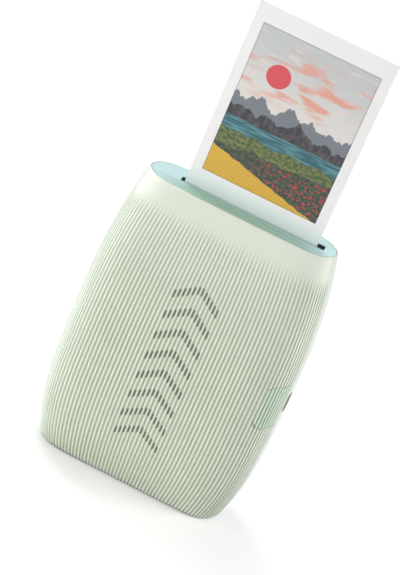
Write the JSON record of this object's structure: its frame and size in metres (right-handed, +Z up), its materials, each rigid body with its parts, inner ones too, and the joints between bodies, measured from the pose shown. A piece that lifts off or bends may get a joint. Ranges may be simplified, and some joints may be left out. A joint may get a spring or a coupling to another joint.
{
  "type": "compact photo printer",
  "caption": "Pocket photo printer with a ribbed waisted body, a top slot that feeds an instant print, a corner power key and a hinged rear film door.",
  "frame": {"origin": "middle of the base on the resting surface", "axes": "+Z up, +X to the right seen from the front, -Y towards the front face"},
  "size_m": [0.09, 0.0374, 0.2019],
  "materials": {
    "shell": "satin ribbed plastic, pale green",
    "panel": "satin plastic, pale aqua",
    "key": "satin ribbed plastic, pale green with a teal tint",
    "black_plastic": "black moulded plastic",
    "felt": "black felt",
    "sheet_steel": "pressed sheet steel",
    "screw_steel": "plated screw steel",
    "bronze": "sintered bronze",
    "gear_plastic": "natural acetal",
    "roller_rubber": "dark rubber",
    "board": "green solder mask on glass fibre board",
    "chip": "black moulded chip bodies",
    "cell": "aluminium pouch",
    "lead": "red insulated wire",
    "ribbon": "amber flexible circuit",
    "lens": "clear moulded lens bar",
    "smoked": "smoked amber window",
    "paper": "coated white film sheet",
    "picture": "glossy printed image"
  },
  "bodies": {
    "housing": {"front_shell": "shell", "rear_shell": "shell", "top_panel": "panel", "slot_liner": "black_plastic", "exit_seal": "felt", "base_panel": "shell", "chassis": "sheet_steel", "gear_plate": "sheet_steel", "roller_plate": "sheet_steel", "roller_bushes": "bronze", "gear_posts": "screw_steel", "print_head": "black_plastic", "head_lens": "lens", "head_ribbon": "ribbon", "main_board": "board", "board_chips": "chip", "battery": "cell", "battery_leads": "lead", "usb_port": "sheet_steel", "key_bracket": "black_plastic", "switch_board": "board", "power_switch": "chip", "motor": "sheet_steel", "film_pack": "black_plastic", "film_stack": "paper", "shell_screws": "screw_steel", "chassis_screws": "screw_steel", "board_screws": "screw_steel", "hinge_pins": "screw_steel"},
    "film_door": {"film_door": "shell", "pack_window": "smoked", "pack_springs": "sheet_steel"},
    "latch": {"door_latch": "black_plastic"},
    "key": {"power_button": "key"},
    "print": {"print_sheet": "paper", "print_picture": "picture"},
    "drive_roller": {"drive_shaft": "screw_steel", "drive_roller": "roller_rubber", "drive_gear": "gear_plastic", "drive_sync_gear": "gear_plastic"},
    "pinch_roller": {"pinch_shaft": "screw_steel", "pinch_roller": "roller_rubber", "pinch_sync_gear": "gear_plastic"},
    "upper_idler": {"upper_idler": "gear_plastic"},
    "lower_idler": {"lower_idler": "gear_plastic"},
    "pinion": {"motor_pinion": "screw_steel"},
    "claw": {"pick_claw": "gear_plastic"}
  },
  "joints": [
    {"name": "print_feed", "type": "slide", "parent": "housing", "child": "print", "axis": [0, 0, 1], "range_m": [-0.1, 0.007]},
    {"name": "drive_spin", "type": "hinge", "parent": "housing", "child": "drive_roller", "pos_m": [0, 0.00345, 0.117], "axis": [1, 0, 0], "continuous": true},
    {"name": "pinch_spin", "type": "hinge", "parent": "housing", "child": "pinch_roller", "pos_m": [0, -0.00415, 0.117], "axis": [1, 0, 0], "continuous": true},
    {"name": "upper_idler_spin", "type": "hinge", "parent": "housing", "child": "upper_idler", "pos_m": [0, 0.00101, 0.11152], "axis": [1, 0, 0], "continuous": true},
    {"name": "lower_idler_spin", "type": "hinge", "parent": "housing", "child": "lower_idler", "pos_m": [0, -0.00298, 0.10413], "axis": [1, 0, 0], "continuous": true},
    {"name": "motor_spin", "type": "hinge", "parent": "housing", "child": "pinion", "pos_m": [0, -0.00822, 0.09808], "axis": [1, 0, 0], "continuous": true},
    {"name": "door_hinge", "type": "hinge", "parent": "housing", "child": "film_door", "pos_m": [0, 0.0109, 0.009], "axis": [-1, 0, 0], "range_deg": [0, 90]},
    {"name": "latch_slide", "type": "slide", "parent": "film_door", "child": "latch", "axis": [0, 0, 1], "range_m": [0, 0.003]},
    {"name": "key_press", "type": "slide", "parent": "housing", "child": "key", "axis": [-0.7071, 0.7071, 0], "range_m": [0, 0.0006], "stiffness_N_per_m": 800},
    {"name": "claw_slide", "type": "slide", "parent": "housing", "child": "claw", "axis": [0, 0, 1], "range_m": [0, 0.008]}
  ],
  "couplings": [
    {"joint": "drive_spin", "follows": "print_feed", "rad_per_m": -246.75},
    {"joint": "pinch_spin", "follows": "print_feed", "rad_per_m": 339.29},
    {"joint": "upper_idler_spin", "follows": "print_feed", "rad_per_m": 370.13},
    {"joint": "lower_idler_spin", "follows": "print_feed", "rad_per_m": -925.32},
    {"joint": "motor_spin", "follows": "print_feed", "rad_per_m": 2776}
  ]
}
